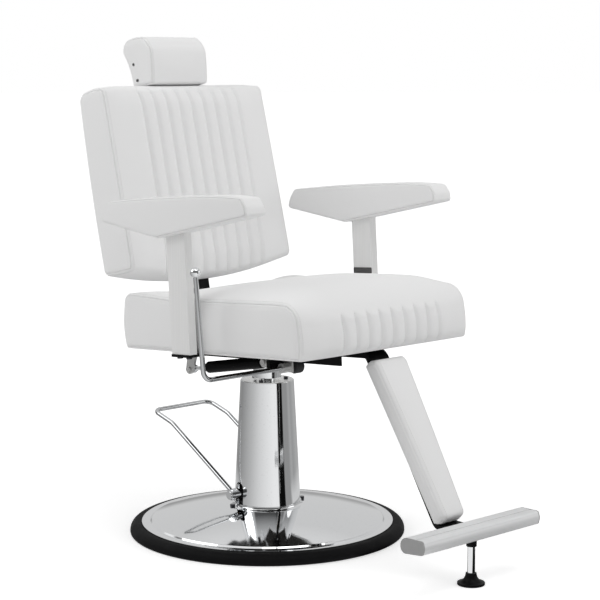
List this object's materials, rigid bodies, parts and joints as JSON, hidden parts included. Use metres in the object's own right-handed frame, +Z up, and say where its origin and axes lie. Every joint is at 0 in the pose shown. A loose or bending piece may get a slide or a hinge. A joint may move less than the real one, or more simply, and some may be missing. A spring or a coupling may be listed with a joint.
{
  "type": "threading chair",
  "caption": "Reclining salon chair on a round hydraulic base, with channelled white cushions, armrests, headrest, foot pedal and a leg rest with a foot bar.",
  "frame": {"origin": "centre of the round base on the floor, on the column's axis", "axes": "+Z up, the chair faces -Y, the sitter's right is -X"},
  "size_m": [0.644, 1.0635, 1.1371],
  "materials": {
    "white_vinyl": "soft satin coated vinyl with sewn seams",
    "plywood": "bare plywood",
    "chrome": "mirror chrome plate",
    "rubber": "matt black rubber",
    "satin_steel": "satin silver",
    "black_steel": "black powder coat",
    "gloss_black": "gloss black",
    "dark_steel": "darkened steel",
    "cast_iron": "machined casting",
    "bronze": "plain bronze bushes",
    "satin_aluminium": "satin extruded",
    "grey_plastic": "matt grey",
    "black_plastic": "matt black"
  },
  "bodies": {
    "base": {"floor_ring": "rubber", "base_dish": "chrome", "base_plate": "black_steel", "base_bolts": "dark_steel", "pump_body": "cast_iron", "ram_guide_bush": "bronze", "ram_seal": "rubber", "column_cover": "chrome", "cover_foot_ring": "chrome", "column_cap": "chrome", "cap_screws": "dark_steel", "shaft_bushes": "bronze"},
    "pedal": {"rocker_shaft": "chrome", "pedal_loop": "chrome", "pedal_nuts": "chrome"},
    "plunger": {"pump_plunger": "dark_steel"},
    "ram": {"ram": "chrome", "thrust_washer": "satin_steel"},
    "seat": {"swivel_hub": "satin_steel", "under_frame": "black_steel", "seat_board": "plywood", "seat_cushion": "white_vinyl", "arm_bolts": "dark_steel", "lever_bearing": "satin_steel", "spring_block": "black_steel", "spring_front_fork": "satin_steel", "hinge_bushes": "bronze", "legrest_arm": "black_steel", "legrest_bolts": "chrome", "calf_pad_board": "plywood", "calf_pad": "white_vinyl", "footrest_bar": "satin_aluminium", "footrest_end_caps": "grey_plastic", "support_collar": "black_plastic", "arm_bracket_left": "black_steel", "arm_bracket_right": "black_steel", "arm_post_left": "satin_steel", "arm_post_right": "satin_steel", "armrest_board_left": "plywood", "armrest_board_right": "plywood", "armrest_pad_left": "white_vinyl", "armrest_pad_right": "white_vinyl"},
    "back": {"torque_tube": "black_steel", "back_bar": "black_steel", "spring_lug": "satin_steel", "lug_bolt": "satin_steel", "back_board": "plywood", "back_cushion": "white_vinyl", "back_rear_panel": "white_vinyl", "headrest_socket": "black_steel"},
    "headrest": {"headrest_post": "satin_steel", "headrest_board": "plywood", "headrest_pad": "white_vinyl"},
    "gas_cylinder": {"gas_spring_cylinder": "gloss_black"},
    "gas_rod": {"gas_spring_rod": "chrome"},
    "recline_lever": {"recline_lever": "chrome", "lever_ball": "chrome", "lever_end_knob": "rubber"},
    "support_foot": {"support_rod": "chrome", "support_foot": "black_plastic"}
  },
  "joints": [
    {"name": "ram_lift", "type": "slide", "parent": "base", "child": "ram", "axis": [0, 0, 1], "range_m": [0, 0.15]},
    {"name": "seat_swivel", "type": "hinge", "parent": "ram", "child": "seat", "pos_m": [0, 0, 0.42], "axis": [0, 0, 1], "continuous": true},
    {"name": "recline", "type": "hinge", "parent": "seat", "child": "back", "pos_m": [0, 0.13138, 0.41723], "axis": [-1, 0, 0], "range_deg": [0, 40]},
    {"name": "headrest_slide", "type": "slide", "parent": "back", "child": "headrest", "axis": [0, 0.2147, 0.9767], "range_m": [0, 0.09]},
    {"name": "lever_turn", "type": "hinge", "parent": "seat", "child": "recline_lever", "pos_m": [-0.2, -0.14294, 0.40639], "axis": [-1, 0, 0], "range_deg": [-15, 15], "stiffness_Nm_per_rad": 4},
    {"name": "gas_cylinder_pivot", "type": "hinge", "parent": "seat", "child": "gas_cylinder", "pos_m": [-0.1, -0.10809, 0.4181], "axis": [-1, 0, 0], "range_deg": [0, 1.66]},
    {"name": "gas_rod_slide", "type": "slide", "parent": "gas_cylinder", "child": "gas_rod", "axis": [0, -0.9836, 0.1804], "range_m": [0, 0.03275]},
    {"name": "pedal_rock", "type": "hinge", "parent": "base", "child": "pedal", "pos_m": [0, 0.017, 0.095], "axis": [-1, 0, 0], "range_deg": [0, 25], "stiffness_Nm_per_rad": 8, "springref_deg": -28.65},
    {"name": "plunger_slide", "type": "slide", "parent": "base", "child": "plunger", "axis": [0, 0, 1], "range_m": [0, 0.0095]},
    {"name": "support_slide", "type": "slide", "parent": "seat", "child": "support_foot", "axis": [0, 0, 1], "range_m": [0, 0.02]}
  ],
  "couplings": [
    {"joint": "gas_cylinder_pivot", "follows": "recline", "ratio": 0.029},
    {"joint": "gas_rod_slide", "follows": "recline", "m_per_rad": 0.045479},
    {"joint": "plunger_slide", "follows": "pedal_rock", "m_per_rad": 0.021309}
  ]
}
